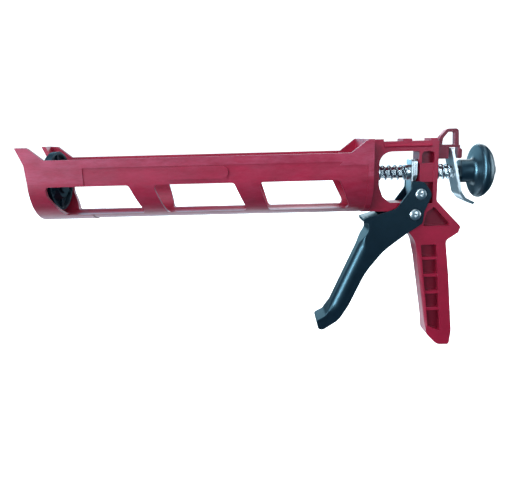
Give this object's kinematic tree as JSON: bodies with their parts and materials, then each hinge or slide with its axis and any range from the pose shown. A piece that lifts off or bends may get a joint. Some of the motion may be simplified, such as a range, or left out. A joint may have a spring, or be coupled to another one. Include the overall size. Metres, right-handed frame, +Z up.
{
  "type": "caulking gun",
  "caption": "Half-barrel caulking gun with windowed cradle, squeeze trigger and grip, sliding push rod with plunger and knob, and thumb release plate.",
  "frame": {"origin": "push-rod axis at the inner face of the front plate, which is the centre of the nozzle slot's round bottom", "axes": "+X runs back along the push rod to the knob, +Z is up with the grip hanging down, +Y is the side away from the rivet heads drawn nearest"},
  "size_m": [0.3394, 0.0576, 0.164],
  "materials": {
    "red_casting": "satin crimson paint on an aluminium die casting",
    "black_nylon": "glossy black moulded trigger",
    "black_plunger": "black moulded plunger, semi-matte",
    "black_knob": "glossy black moulded knob",
    "black_screw": "blackened steel screw",
    "zinc_steel": "bright zinc plate",
    "plate_steel": "zinc-plated pressed steel",
    "spring_steel": "bright drawn spring wire",
    "rod_steel": "bright drawn hexagon steel bar"
  },
  "bodies": {
    "frame": {"cradle_casting": "red_casting", "handle_casting": "red_casting", "trigger_pivot_rivet": "zinc_steel", "spring_front_washer": "zinc_steel", "drive_spring": "spring_steel", "release_spring": "spring_steel"},
    "trigger": {"trigger_lever": "black_nylon", "link_rivet": "zinc_steel", "drive_sleeve": "zinc_steel"},
    "drive": {"drive_plate_front": "plate_steel", "drive_plate_middle": "plate_steel", "drive_plate_rear": "plate_steel", "spring_seat_washer": "zinc_steel"},
    "release": {"release_plate": "plate_steel"},
    "rod": {"push_rod": "rod_steel", "plunger_cup": "black_plunger", "plunger_backing_washer": "black_plunger", "plunger_front_washer": "zinc_steel", "plunger_nut": "zinc_steel", "rear_knob": "black_knob", "knob_washer": "zinc_steel", "knob_screw": "black_screw"}
  },
  "joints": [
    {"name": "trigger_squeeze", "type": "hinge", "parent": "frame", "child": "trigger", "pos_m": [0.2699, 0, -0.0303], "axis": [0, -1, 0], "range_deg": [0, 27], "stiffness_Nm_per_rad": 0.9, "springref_deg": -20.05},
    {"name": "drive_slide", "type": "slide", "parent": "frame", "child": "drive", "axis": [-1, 0, 0], "range_m": [0, 0.0072], "deforming": ["drive_spring"]},
    {"name": "release_press", "type": "hinge", "parent": "frame", "child": "release", "pos_m": [0.2962, 0, 0.0145], "axis": [0, 1, 0], "range_deg": [0, 8], "stiffness_Nm_per_rad": 0.15, "springref_deg": -20.05, "deforming": ["release_spring"]},
    {"name": "rod_pull", "type": "slide", "parent": "frame", "child": "rod", "axis": [1, 0, 0], "range_m": [0, 0.214]}
  ],
  "couplings": [
    {"joint": "drive_slide", "follows": "trigger_squeeze", "m_per_rad": 0.0152}
  ]
}
